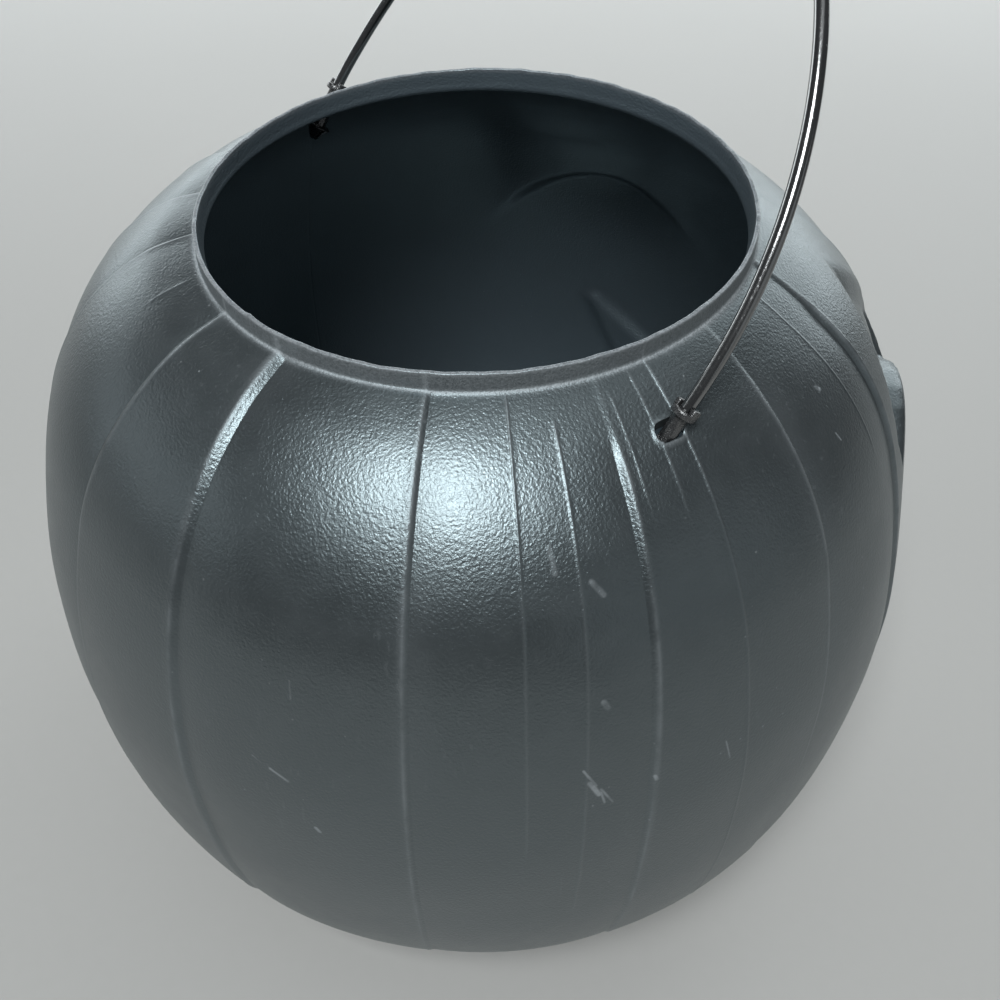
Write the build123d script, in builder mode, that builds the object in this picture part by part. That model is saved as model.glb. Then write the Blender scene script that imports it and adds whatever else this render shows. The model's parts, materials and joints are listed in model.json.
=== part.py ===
"""A pumpkin candy pail: a blow-moulded shell and a rod handle that swings in two holes of its shoulder.

Millimetres, +Z up. The origin is the middle of the base. The face looks along -Y, and the handle swings
about a line along X.
"""

import os
from math import atan2, cos, degrees, hypot, radians, sin, sqrt, tan

from build123d import *

os.makedirs("parts", exist_ok=True)

# The shell's skin
wall = 1.5
equator_radius = 105.0
equator_height = 68.0
skirt_radius = 139.0
skirt_turn = 11.3
belly_radius = 167.0
belly_turn = 22.2
neck_radius = 55.5
neck_foot_height = 165.4
lip_height = 169.3
overrun = 2.0

# Creases between the lobes, in degrees round from the face, anticlockwise seen from above
crease_azimuths = (-155.0, -127.3, -102.0, -77.0, -53.0, -21.5, 21.5, 53.0, 77.0, 102.0, 122.0, 140.0, 157.0, 185.0)
crease_depth = 0.9
crease_tool_radius = 3.0
crease_route_shares = (0.0, 0.125, 0.25, 0.375, 0.5, 0.625, 0.75, 0.875, 1.0)

# The face, sunk into the skin
relief = 3.0
eye_azimuth = 37.0
eye_width = 35.0
eye_foot_height = 118.5
eye_height = 36.0
eye_arch = 6.0
eye_side_bow = 8.2
eye_corner = 3.0
nose_width = 24.0
nose_foot_height = 86.0
nose_height = 20.0
nose_corner = 2.5
mouth_width = 126.0
mouth_corner_height = 74.0
upper_lip_height = 50.0
lower_lip_height = 28.0
tooth_width = 14.0
tooth_height = 9.0
tooth_spacing = 46.0

# The handle
pivot_height = 159.3
hinge_offset = 2.5
lean = 36.0
rod_radius = 1.2
arm_radius = 91.5
arm_turn = 48.0

# The plugs on the rod's ends
barrel_radius = 1.45
collar_radius = 2.4
collar_height = 1.3
ear_width = 1.1
ear_length = 2.0
ear_height = 1.0
barb_radius = 2.9
barb_length = 3.6
barb_tip_radius = 1.0
barb_land = 0.5
slit_width = 0.7
socket_depth = 3.2
socket_clearance = 0.02
hole_side_clearance = 0.35
hole_end_clearance = 0.75
collar_clearance = 0.3
barb_clearance = 0.8

# The skin's meridian is four tangent arcs: heel, skirt, belly and shoulder
skirt_foot_height = equator_height - skirt_radius * sin(radians(skirt_turn))
skirt_foot_radius = equator_radius - skirt_radius * (1 - cos(radians(skirt_turn)))
heel_radius = skirt_foot_height / (1 - sin(radians(skirt_turn)))
base_radius = skirt_foot_radius - heel_radius * cos(radians(skirt_turn))
belly_top_radius = equator_radius - belly_radius * (1 - cos(radians(belly_turn)))
belly_top_height = equator_height + belly_radius * sin(radians(belly_turn))
neck_in = neck_radius - belly_top_radius
neck_up = neck_foot_height - belly_top_height
neck_outward = neck_in * cos(radians(belly_turn)) + neck_up * sin(radians(belly_turn))
shoulder_radius = -(neck_in**2 + neck_up**2) / (2 * neck_outward)
shoulder_middle_radius = belly_top_radius - shoulder_radius * cos(radians(belly_turn))
shoulder_middle_height = belly_top_height - shoulder_radius * sin(radians(belly_turn))


def neck_foot(inset):
    """Where the neck leaves the shoulder, this far inside the outer face: its radius and its height."""
    radius = neck_radius - inset
    bend = shoulder_radius - inset
    return radius, shoulder_middle_height + sqrt(bend**2 - (radius - shoulder_middle_radius) ** 2)


def meridian(inset):
    """Draws the skin's meridian, this far inside the outer face, from the base to the neck."""
    radius, height = neck_foot(inset)
    shoulder_end = degrees(atan2(height - shoulder_middle_height, radius - shoulder_middle_radius))
    shoulder_middle = (shoulder_middle_radius, shoulder_middle_height)
    CenterArc((base_radius, heel_radius), heel_radius - inset, -90, 90 - skirt_turn)
    CenterArc((equator_radius - skirt_radius, equator_height), skirt_radius - inset, -skirt_turn, skirt_turn)
    CenterArc((equator_radius - belly_radius, equator_height), belly_radius - inset, 0, belly_turn)
    CenterArc(shoulder_middle, shoulder_radius - inset, belly_turn, shoulder_end - belly_turn)


def turned_body(inset, top):
    """A full body of revolution whose skin lies this far inside the shell's outer face."""
    radius, height = neck_foot(inset)
    with BuildPart() as body:
        with BuildSketch(Plane.XZ):
            with BuildLine():
                meridian(inset)
                Polyline((radius, height), (radius, top), (0, top), (0, inset), (base_radius, inset))
            make_face()
        revolve(axis=Axis.Z)
    return body.part


def meridian_plane(azimuth):
    """The half plane of one meridian: its x runs outward and its y runs up."""
    outward = (sin(radians(azimuth)), -cos(radians(azimuth)), 0)
    across = (outward[1], -outward[0], 0)
    return Plane(origin=(0, 0, 0), x_dir=outward, z_dir=across)


def creases(thickness):
    """Smooth round bars along the creases. They cut the outer grooves and, thicker by the wall, the inner ridges."""
    standoff = crease_tool_radius - crease_depth
    with BuildPart() as bars:
        for azimuth in crease_azimuths:
            with BuildLine(meridian_plane(azimuth)) as arcs:
                meridian(-standoff)
            guide = arcs.wire()
            with BuildLine() as path:
                Spline(*(guide @ share for share in crease_route_shares), tangents=(guide % 0, guide % 1))
            route = path.wire()
            with BuildSketch(Plane(origin=route @ 0, z_dir=route % 0)):
                Circle(crease_tool_radius + thickness)
            sweep(path=route)
    return bars.part


def front_plane(azimuth):
    """A plane across the view of someone who faces the shell here: x runs round it, y up and z outward."""
    outward = (sin(radians(azimuth)), -cos(radians(azimuth)), 0)
    return Plane(origin=(0, 0, 0), x_dir=(-outward[1], outward[0], 0), z_dir=outward)


def face_prisms(grow):
    """The eyes, the nose and the mouth as prisms that run inward, each wider by grow on every side."""
    near, far = equator_radius / 2, equator_radius + overrun
    with BuildPart() as prisms:
        for side in (-1, 1):
            with BuildSketch(front_plane(side * eye_azimuth).offset(near)) as eye:
                with BuildLine():
                    left, right = (-eye_width / 2, eye_foot_height), (eye_width / 2, eye_foot_height)
                    peak = (0, eye_foot_height + eye_height)
                    ThreePointArc(left, (0, eye_foot_height + eye_arch), right)
                    SagittaArc(right, peak, -eye_side_bow)
                    SagittaArc(peak, left, -eye_side_bow)
                make_face()
                offset(amount=grow, kind=Kind.INTERSECTION)
                fillet(eye.vertices(), eye_corner + grow)
            extrude(amount=far - near)
        with BuildSketch(front_plane(0).offset(near)):
            with BuildLine():
                foot = nose_foot_height
                Polyline((-nose_width / 2, foot), (nose_width / 2, foot), (0, foot + nose_height), close=True)
            nose = make_face()
            fillet(nose.vertices(), nose_corner)
            offset(amount=grow)
        extrude(amount=far - near)
        with BuildSketch(front_plane(0).offset(near)):
            with BuildLine():
                left, right = (-mouth_width / 2, mouth_corner_height), (mouth_width / 2, mouth_corner_height)
                ThreePointArc(left, (0, upper_lip_height), right)
                ThreePointArc(right, (0, lower_lip_height), left)
            make_face()
            upper_bend = lip_bend(upper_lip_height)
            tooth_root = upper_lip_height + upper_bend - sqrt(upper_bend**2 - (tooth_spacing / 2) ** 2)
            with Locations((-tooth_spacing / 2, tooth_root), (tooth_spacing / 2, tooth_root)):
                Rectangle(tooth_width, 2 * tooth_height, mode=Mode.SUBTRACT)
            with Locations((0, lower_lip_height)):
                Rectangle(tooth_width, 2 * tooth_height, mode=Mode.SUBTRACT)
            offset(amount=grow)
        extrude(amount=far - near)
    return prisms.part


def lip_bend(lip):
    """The radius of a mouth's lip, from its middle height."""
    rise = mouth_corner_height - lip
    return ((mouth_width / 2) ** 2 + rise**2) / (2 * rise)


# Where the handle's plugs pass through the shoulder
mid_wall_bend = shoulder_radius - wall / 2
half_span = shoulder_middle_radius + sqrt(mid_wall_bend**2 - (pivot_height - shoulder_middle_height) ** 2)
shoulder_slope = (half_span - shoulder_middle_radius) / (pivot_height - shoulder_middle_height)
upright_wall = wall * hypot(1, shoulder_slope)
lean_sine, lean_cosine, lean_tangent = sin(radians(lean)), cos(radians(lean)), tan(radians(lean))
edge_reach = hypot(lean_sine, shoulder_slope)
collar_foot = (upright_wall / 2 + collar_clearance + collar_radius * edge_reach) / lean_cosine
collar_top = collar_foot + collar_height
barb_top = (upright_wall / 2 + barb_clearance + barb_radius * edge_reach) / lean_cosine
hole_length = upright_wall * lean_tangent + 2 * (barrel_radius / lean_cosine + hole_end_clearance)
hole_width = 2 * (barrel_radius + hole_side_clearance)
hole_reach = hole_width * shoulder_slope + upright_wall

# The shell: the outer body less its creases, its sunken face, the space inside and the two hinge holes
with BuildPart() as sunken_face:
    add(face_prisms(0))
    add(turned_body(relief, lip_height), mode=Mode.SUBTRACT)

with BuildPart() as inner_face:
    add(face_prisms(wall))
    add(turned_body(relief + wall, lip_height), mode=Mode.SUBTRACT)

with BuildPart() as inside:
    add(turned_body(wall, lip_height + overrun))
    add(creases(wall), mode=Mode.SUBTRACT)
    add(inner_face.part, mode=Mode.SUBTRACT)

with BuildPart() as pail_shell:
    add(turned_body(0, lip_height))
    add(creases(0), mode=Mode.SUBTRACT)
    add(sunken_face.part, mode=Mode.SUBTRACT)
    add(inside.part, mode=Mode.SUBTRACT)
    with BuildSketch(Plane.XY.offset(pivot_height)):
        with Locations((-half_span, hinge_offset), (half_span, hinge_offset)):
            SlotOverall(hole_length, hole_width, rotation=90)
    extrude(amount=hole_reach, both=True, mode=Mode.SUBTRACT)

# The handle's own plane holds the hinge line: x runs along it, and y runs up the leaning arch
handle_up = (0, -lean_sine, lean_cosine)
handle_plane = Plane(origin=(0, hinge_offset, pivot_height), x_dir=(1, 0, 0), z_dir=(0, -lean_cosine, -lean_sine))
rod_foot = collar_top - socket_depth
arm_middle = half_span - arm_radius
crown_radius = (arm_middle + arm_radius * cos(radians(arm_turn))) / cos(radians(arm_turn))
crown_height = collar_top + (arm_radius - crown_radius) * sin(radians(arm_turn))

with BuildPart() as bail_rod:
    with BuildLine(handle_plane) as arch:
        Line((half_span, rod_foot), (half_span, collar_top))
        CenterArc((arm_middle, collar_top), arm_radius, 0, arm_turn)
        CenterArc((0, crown_height), crown_radius, arm_turn, 180 - 2 * arm_turn)
        CenterArc((-arm_middle, collar_top), arm_radius, 180 - arm_turn, arm_turn)
        Line((-half_span, collar_top), (-half_span, rod_foot))
    rod_route = arch.wire()
    with BuildSketch(Plane(origin=rod_route @ 0, z_dir=rod_route % 0)):
        Circle(rod_radius)
    sweep(path=rod_route)


def end_plug(side):
    """One plug: a barbed tip, a barrel through the shoulder, a collar with two ears and a socket for the rod."""
    foot = handle_plane.from_local_coords((side * half_span, 0, 0))
    profile_plane = Plane(origin=foot, x_dir=(1, 0, 0), z_dir=handle_plane.z_dir)
    collar_plane = Plane(origin=foot, x_dir=(1, 0, 0), z_dir=handle_up).offset(collar_top)
    barb_foot = barb_top + barb_land
    tip = barb_top + barb_length
    with BuildPart() as plug:
        with BuildSketch(profile_plane):
            with BuildLine():
                Polyline(
                    (0, -tip),
                    (barb_tip_radius, -tip),
                    (barb_radius, -barb_foot),
                    (barb_radius, -barb_top),
                    (barrel_radius, -barb_top),
                    (barrel_radius, collar_foot),
                    (collar_radius, collar_foot),
                    (collar_radius, collar_top),
                    (0, collar_top),
                    close=True,
                )
            make_face()
        revolve(axis=Axis(foot, handle_up))
        with BuildSketch(collar_plane):
            ear_place = collar_radius - ear_width / 2
            with Locations((-ear_place, 0), (ear_place, 0)):
                Rectangle(ear_width, ear_length)
        extrude(amount=ear_height)
        with BuildSketch(collar_plane):
            Circle(rod_radius + socket_clearance)
        extrude(amount=-socket_depth, mode=Mode.SUBTRACT)
        with BuildSketch(collar_plane.offset(-collar_top - tip)):
            Rectangle(2 * barb_radius + overrun, slit_width)
        extrude(amount=barb_length + barb_land, mode=Mode.SUBTRACT)
    return plug


left_end_plug = end_plug(-1)
right_end_plug = end_plug(1)

pail_shell.part.label = "pail_shell"
bail_rod.part.label = "bail_rod"
left_end_plug.part.label = "left_end_plug"
right_end_plug.part.label = "right_end_plug"
export_step(pail_shell.part, "parts/pail_shell.step")
export_step(bail_rod.part, "parts/bail_rod.step")
export_step(left_end_plug.part, "parts/left_end_plug.step")
export_step(right_end_plug.part, "parts/right_end_plug.step")

swing_line = (0, hinge_offset, pivot_height)
print("height", round(lip_height, 1), "width", round(2 * equator_radius, 1))
print("hinge line through", swing_line, "half span", round(half_span, 2), "swing", 2 * lean)
print("hole", round(hole_length, 2), "by", round(hole_width, 2), "collar", round(collar_foot, 2))
print("base", round(base_radius, 1), "heel", round(heel_radius, 1), "shoulder", round(shoulder_radius, 1))
print("arch top", round(crown_height + crown_radius, 1), "crown bend", round(crown_radius, 1))
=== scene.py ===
# %% [markdown]
# # A pumpkin candy pail
#
# The pail is one thin skin of black plastic, blown into a mould, with a thin rod that swings over its
# mouth. The frame brings in its solids, which carry the sizes and the motion. Each cell below draws one
# piece again as a finer mesh, or mixes one finish, and says why it is made that way.

# %% Load the frame
import json
import math

import bmesh
import bpy
import numpy as np
from mathutils import Matrix, Vector


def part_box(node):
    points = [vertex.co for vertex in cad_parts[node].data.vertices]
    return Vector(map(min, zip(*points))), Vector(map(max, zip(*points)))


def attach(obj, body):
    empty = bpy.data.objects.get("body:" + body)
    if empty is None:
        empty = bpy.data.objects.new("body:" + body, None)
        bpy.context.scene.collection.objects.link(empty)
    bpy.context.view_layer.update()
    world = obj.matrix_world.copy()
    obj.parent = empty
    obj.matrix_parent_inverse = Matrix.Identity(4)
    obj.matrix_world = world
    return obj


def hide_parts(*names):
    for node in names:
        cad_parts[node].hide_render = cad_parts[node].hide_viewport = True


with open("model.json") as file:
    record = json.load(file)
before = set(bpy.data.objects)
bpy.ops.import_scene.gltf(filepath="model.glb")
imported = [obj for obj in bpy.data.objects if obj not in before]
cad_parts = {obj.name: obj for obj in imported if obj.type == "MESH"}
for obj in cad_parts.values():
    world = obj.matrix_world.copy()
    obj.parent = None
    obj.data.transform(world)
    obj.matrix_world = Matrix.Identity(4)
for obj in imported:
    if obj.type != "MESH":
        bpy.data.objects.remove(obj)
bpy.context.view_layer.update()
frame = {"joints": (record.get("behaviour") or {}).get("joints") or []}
for name in ("Cube", "Light", "Camera"):
    if name in bpy.data.objects:
        bpy.data.objects.remove(bpy.data.objects[name])

# %% [markdown]
# ## Sizes
#
# Blender works in metres here, and a pail is easier to think of in millimetres, so one name stands for a
# millimetre. The skin's outline is four arcs that run into one another: the heel under the pail, the skirt
# up to its widest ring, the belly above that, and the shoulder that closes in to the neck.

# %% Sizes of the skin and the handle
mm = 0.001
shell_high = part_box("pail_shell")[1]
equator_radius = shell_high.x
lip_height = shell_high.z
wall = 1.5 * mm
equator_height = 68.0 * mm
skirt_bend, skirt_turn = 139.0 * mm, math.radians(11.3)
belly_bend, belly_turn = 167.0 * mm, math.radians(22.2)
skirt_middle = equator_radius - skirt_bend
belly_middle = equator_radius - belly_bend
neck_radius, neck_foot = 55.5 * mm, 165.4 * mm

skirt_foot = equator_height - skirt_bend * math.sin(skirt_turn)
heel_bend = skirt_foot / (1 - math.sin(skirt_turn))
base_radius = equator_radius - skirt_bend * (1 - math.cos(skirt_turn)) - heel_bend * math.cos(skirt_turn)
belly_top = np.array((equator_radius - belly_bend * (1 - math.cos(belly_turn)),
                      equator_height + belly_bend * math.sin(belly_turn)))
neck_offset = np.array((neck_radius, neck_foot)) - belly_top
belly_normal = np.array((math.cos(belly_turn), math.sin(belly_turn)))
shoulder_bend = -neck_offset.dot(neck_offset) / (2 * neck_offset.dot(belly_normal))
shoulder_middle = belly_top - shoulder_bend * belly_normal

hinge = Vector(frame["joints"][0]["pos_m"])
plug_low, plug_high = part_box("right_end_plug")
half_span = (plug_low.x + plug_high.x) / 2
lean = math.radians(36)
print("base", round(base_radius, 4), "shoulder bend", round(shoulder_bend, 4))
print("half span of the hinge holes", round(half_span, 4))

# %% [markdown]
# ## The outline of the skin
#
# A blown skin is the same thickness nearly everywhere, so the outer outline runs up to the cut lip, turns
# over it and comes back down inside, one wall further in. Rows are close together on the shoulder, because
# the light catches it and the hinge holes sit there. A corner is rounded by a short curve, since no moulded
# corner is quite sharp.

# %% Rows from the base, over the lip and down the inside
base_rows, neck_rows, corner_rows = 7, 4, 5
heel_step, skirt_step, belly_step, shoulder_step = 1.3 * mm, 1.0 * mm, 0.9 * mm, 0.5 * mm
inner_coarseness = 1.4
neck_soft, lip_soft = 0.8 * mm, 0.3 * mm
lip_wall = 0.85 * mm


def arc_rows(middle, bend, start, stop, spacing):
    count = max(3, int(abs(bend * (stop - start)) / spacing))
    turns = np.linspace(start, stop, count, endpoint=False)
    return np.column_stack((middle[0] + bend * np.cos(turns), middle[1] + bend * np.sin(turns)))


def rounded(before, corner, after):
    steps = np.linspace(0, 1, corner_rows)[:, None]
    return (1 - steps) ** 2 * before + 2 * steps * (1 - steps) * corner + steps**2 * after


def skin_rows(inset, coarse):
    """The outline from the base to just under the neck, this far inside the outer face."""
    radius = neck_radius - inset
    bend = shoulder_bend - inset
    stop = math.acos((radius - shoulder_middle[0]) / bend)
    corner = np.array((radius, shoulder_middle[1] + bend * math.sin(stop)))
    rows = [
        np.column_stack((np.linspace(0.1, 0.95, base_rows) * base_radius, np.full(base_rows, inset))),
        arc_rows((base_radius, heel_bend), heel_bend - inset, -math.pi / 2, -skirt_turn, heel_step * coarse),
        arc_rows((skirt_middle, equator_height), skirt_bend - inset, -skirt_turn, 0, skirt_step * coarse),
        arc_rows((belly_middle, equator_height), belly_bend - inset, 0, belly_turn, belly_step * coarse),
        arc_rows(shoulder_middle, bend, belly_turn, stop - neck_soft / bend, shoulder_step * coarse),
    ]
    return np.vstack(rows), corner, np.array((math.sin(stop), -math.cos(stop)))


outer_rows, outer_corner, outer_run = skin_rows(0, 1)
inner_rows, inner_corner, inner_run = skin_rows(wall, inner_coarseness)
up, inward = np.array((0, 1)), np.array((-1, 0))
lip_outer = np.array((neck_radius, lip_height))
lip_inner = np.array((neck_radius - lip_wall, lip_height))
profile = np.vstack((
    outer_rows,
    rounded(outer_corner + outer_run * neck_soft, outer_corner, outer_corner + up * neck_soft),
    outer_corner + np.linspace(0.35, 0.8, neck_rows)[:, None] * (lip_outer - outer_corner),
    rounded(lip_outer - up * lip_soft, lip_outer, lip_outer + inward * lip_soft),
    rounded(lip_inner - inward * lip_soft, lip_inner, lip_inner - up * lip_soft),
    inner_corner + np.linspace(0.8, 0.3, neck_rows)[:, None] * (lip_inner - inner_corner),
    rounded(inner_corner + up * neck_soft, inner_corner, inner_corner + inner_run * neck_soft),
    inner_rows[::-1],
))
inner_start = len(outer_rows) + corner_rows + neck_rows + corner_rows
row_radius, row_height = profile.T
along = np.gradient(profile, axis=0)
along /= np.linalg.norm(along, axis=1)[:, None]
row_out, row_up = along[:, 1], -along[:, 0]
print("rows", len(profile), "of which inside", len(profile) - inner_start)

# %% [markdown]
# ## Where the columns run
#
# The creases of a pumpkin aren't evenly spaced, and they lean a little on their way down. Each drops steeply
# on one side and rises gently on the other. Angles are counted in degrees from the middle of the face. The
# mesh's columns follow the creases, so that a narrow groove stays crisp from top to bottom.

# %% Creases and mould lines
# angle at the neck, angle at the widest ring, depth in mm, width in mm of the steep side (negative if that
# is the left side, seen from outside) and how much of the depth is left at the neck
creases = (
    (-156.2, -152.6, 0.9, -1.7, 1.0), (-127.9, -126.9, 0.5, -1.0, 0.8), (-101.1, -103.4, 0.6, 1.2, 0.1),
    (-74.0, -80.5, 0.4, -0.7, 0.3), (-51.4, -58.0, 0.9, 1.2, 0.4), (-21.0, -23.0, 1.0, -1.8, 0.5),
    (21.0, 23.0, 1.0, 1.8, 0.5), (51.0, 57.0, 1.1, -1.6, 0.4), (75.0, 80.0, 0.6, 1.2, 0.4),
    (101.0, 103.0, 0.9, -1.8, 0.6), (121.0, 122.0, 0.9, 1.8, 0.6), (139.0, 139.0, 0.9, 1.8, 0.8),
    (155.5, 160.0, 1.0, 1.8, 0.9), (184.0, 186.0, 1.0, 1.8, 1.0),
)
# angle at the neck, angle at the widest ring, height in mm where the line starts and where it ends, and
# its strength
mould_lines = (
    (-115.5, -115.5, 165, 92, 0.9), (-108.6, -109.9, 163, 66, 0.9), (-98.5, -99.5, 164, 152, 0.45),
    (-93.8, -95.5, 165, 150, 0.5), (-59.0, -63.0, 164, 138, 0.7), (172.0, 172.0, 164.5, 160, 0.5),
    (-90.0, -91.0, 168, 2, 0.8), (90.0, 91.0, 168, 2, 0.8),
)


def drift(height):
    """How far down its lean a line has come: 0 at the neck and 1 at the widest ring."""
    return np.clip((neck_foot - height) / (neck_foot - equator_height), 0, 1.2)


def wrapped(angle):
    return (angle + 180) % 360 - 180


print("creases", len(creases), "mould lines", len(mould_lines))

# %% Columns that follow them
face_reach, hinge_reach = 52, 5
plain_step, face_step, hinge_step, least_step = 1.6, 0.55, 0.25, 0.07
hinge_angle = math.degrees(math.atan2(half_span, -hinge.y))
# degrees on either side of a crease, and the nearest of them for a mould line
near_offsets = np.array((0, 0.12, 0.25, 0.42, 0.65, 0.95, 1.4, 2.0))
crease_offsets = np.concatenate((-near_offsets[:0:-1], near_offsets))
line_offsets = np.concatenate((-near_offsets[3:0:-1], near_offsets[:4]))
columns = [np.arange(-180, 180, plain_step), np.arange(-face_reach, face_reach, face_step)]
columns += [line[0] + crease_offsets for line in creases]
columns += [line[0] + line_offsets for line in mould_lines]
columns += [side * hinge_angle + np.arange(-hinge_reach, hinge_reach, hinge_step) for side in (-1, 1)]
columns = np.unique(np.round(wrapped(np.concatenate(columns)), 3))
columns = columns[np.concatenate(([True], np.diff(columns) > least_step))]

lines = sorted((wrapped(line[0]), line[1] - line[0]) for line in creases + mould_lines)
line_angles = np.array([line[0] for line in lines])
line_leans = np.array([line[1] for line in lines])
column_lean = np.interp(columns, line_angles, line_leans, period=360)
angle = columns[None, :] + column_lean[None, :] * drift(row_height)[:, None]
radius = np.broadcast_to(row_radius[:, None], angle.shape)
height = np.broadcast_to(row_height[:, None], angle.shape)
print("columns", len(columns), "points", angle.size)

# %% [markdown]
# ## The face
#
# The two eyes, the nose and the toothed smile of a lantern are pressed into the front of the skin. Each is
# an outline seen from the front. The distance of a point from the outline tells how deep the skin lies
# there, and easing that step over a couple of millimetres gives the soft edge that a blown skin has over a
# mould.


# %% Distance from an outline and a soft step
def signed_distance(x, z, outline):
    """Distance of points from a closed outline, negative inside it."""
    nearest = np.full(x.shape, np.inf)
    inside = np.zeros(x.shape, bool)
    for (ax, az), (bx, bz) in zip(outline, outline[1:] + outline[:1]):
        ex, ez = bx - ax, bz - az
        share = np.clip(((x - ax) * ex + (z - az) * ez) / (ex * ex + ez * ez + 1e-18), 0, 1)
        nearest = np.minimum(nearest, (x - ax - share * ex) ** 2 + (z - az - share * ez) ** 2)
        crosses = (az > z) != (bz > z)
        inside ^= crosses & (x < ax + (z - az) * ex / (ez if ez else 1e-18))
    return np.where(inside, -1, 1) * np.sqrt(nearest)


def eased(value, low, high):
    share = np.clip((value - low) / (high - low), 0, 1)
    return share * share * (3 - 2 * share)


print("half way up a soft step", float(eased(0.5, 0, 1)))

# %% Outlines of the eyes, the nose and the smile
eye_angle, eye_half, eye_foot, eye_arch = 37.0, 17.5 * mm, 122 * mm, 6 * mm
nose_width, nose_foot, nose_height = 24 * mm, 86 * mm, 20 * mm
mouth_half, mouth_corner, upper_lip, lower_lip = 63 * mm, 74 * mm, 50 * mm, 28 * mm
tooth_half, tooth_height, tooth_place = 7 * mm, 9 * mm, 23 * mm

# the left eye along its arched foot, up the side by the nose and down the outer side, in mm
eye_points = (
    (-17.5, 122), (-12.5, 125), (-6.5, 127.2), (0, 128), (6.5, 127.2), (12.5, 125), (17.5, 122),
    (20.5, 126), (22, 131), (20.5, 137), (16.5, 143), (11, 149), (6, 154), (3, 156.5), (0.5, 155),
    (-5.5, 150), (-12, 143.5), (-17, 136), (-19.2, 129),
)
left_eye = [(px * mm, pz * mm) for px, pz in eye_points]
right_eye = [(-px, pz) for px, pz in left_eye]
nose_outline = [(-nose_width / 2, nose_foot), (nose_width / 2, nose_foot), (0, nose_foot + nose_height)]


def lip_line(middle, teeth, rise):
    """One lip from left to right, with square teeth that stand this far up, or down if it is negative."""
    climb = mouth_corner - middle
    bend = (mouth_half**2 + climb**2) / (2 * climb)

    def lip(x):
        return middle + bend - math.sqrt(bend**2 - x**2)

    sides = [tooth + side * tooth_half for tooth in teeth for side in (-1, 1)]
    stops = [-mouth_half] + sides + [mouth_half]
    line = []
    for start, stop in zip(stops[::2], stops[1::2]):
        line += [(x, lip(x)) for x in np.linspace(start, stop, 15)]
        tooth = stop + tooth_half
        line += [(tooth + side * tooth_half, lip(tooth) + rise) for side in (-1, 1) if stop < mouth_half]
    return line


mouth_outline = lip_line(upper_lip, (-tooth_place, tooth_place), -tooth_height)
mouth_outline += lip_line(lower_lip, (0,), tooth_height)[::-1]
print("points of the outlines", len(left_eye), len(nose_outline), len(mouth_outline))

# %% How deep the face sits
eye_relief, relief = 4.2 * mm, 3.0 * mm
face_depth = np.zeros(angle.shape)
face_rim = np.zeros(angle.shape)
face_push = np.zeros(angle.shape)
face_margin, side_reach = 13, 60
face_low, face_high = 20 * mm, 161 * mm
outer_soft, inner_soft, nose_side_soft = 1.3 * mm, 5 * mm, 4 * mm
thinned, dome_half = 0.6 * mm, 26 * mm
rim_away, rim_width = 1.8 * mm, 1.6 * mm
front = np.where(np.abs(wrapped(columns)) < face_reach + face_margin)[0]
front_rows = np.where((row_height > face_low) & (row_height < face_high))[0]
part = np.ix_(front_rows, front)
level = height[part]
outside = front_rows[:, None] < inner_start
shapes = (
    (left_eye, -1, eye_relief), (right_eye, 1, eye_relief),
    (nose_outline, 0, relief), (mouth_outline, 0, relief),
)
for outline, side, deep in shapes:
    turned_by = angle[part] - side * eye_angle
    near_by = np.abs(turned_by) < side_reach
    across = radius[part] * np.sin(np.radians(turned_by))
    away = np.where(near_by, signed_distance(across, level, outline), 1)
    above_sill = eased(level - eye_foot - eye_arch, 0, 10 * mm)
    gentle = nose_side_soft * abs(side) * above_sill * eased(-side * across, -6 * mm, 6 * mm)
    sunken = eased(-away, -np.where(outside, outer_soft, inner_soft), outer_soft + gentle)
    depth = deep
    if side:
        # an eye is deepest low down at its outer side, and the skin behind it bulges inwards as a dome
        depth = deep * (0.5 + 0.5 * eased(side * across, -14 * mm, 12 * mm))
        depth = depth * (1 - 0.5 * eased(level, 142 * mm, 156 * mm))
        sill_there = eye_foot + eye_arch * (0.8 - (across / eye_half) ** 2)
        dome = eased(level - sill_there, -5 * mm, 1.5 * mm) * (1 - eased(level, 151 * mm, face_high))
        dome = dome * np.exp(-((across / dome_half) ** 4)) * near_by
        sunken = np.where(outside, sunken, dome)
    face_depth[part] = np.maximum(face_depth[part], sunken)
    face_push[part] = np.maximum(face_push[part], sunken * (depth - np.where(outside, 0, thinned)))
    face_rim[part] = np.maximum(face_rim[part], np.exp(-((away - rim_away) / rim_width) ** 2))
print("sunken points", int((face_depth > 0.5).sum()), "deepest", round(float(face_push.max()), 4))

# %% [markdown]
# ## Pushing the skin in and out
#
# Every point now moves along its own normal. A crease drops steeply from one lobe and rises gently to the
# next, and only a soft swell of it shows inside. Mould lines stand up by about a tenth of a millimetre. The
# cheeks swell under the eyes. The skin also waves very gently, because it shrinks unevenly as it cools, and
# that is what bends the reflections. The same masks are kept on the mesh for the finish to read.

# %% Push of the creases and the mould lines
metres_per_degree = np.radians(1) * radius
foot_fade = eased(height, 5 * mm, 32 * mm)
neck_fade = eased(height, neck_foot - 8 * mm, neck_foot - 3 * mm)
outer_side = (np.arange(len(profile)) < inner_start)[:, None]


def beside_line(neck_angle, ring_angle):
    """How far every point lies from a leaning line, in metres and positive to the right."""
    return wrapped(angle - neck_angle - (ring_angle - neck_angle) * drift(height)) * metres_per_degree


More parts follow.
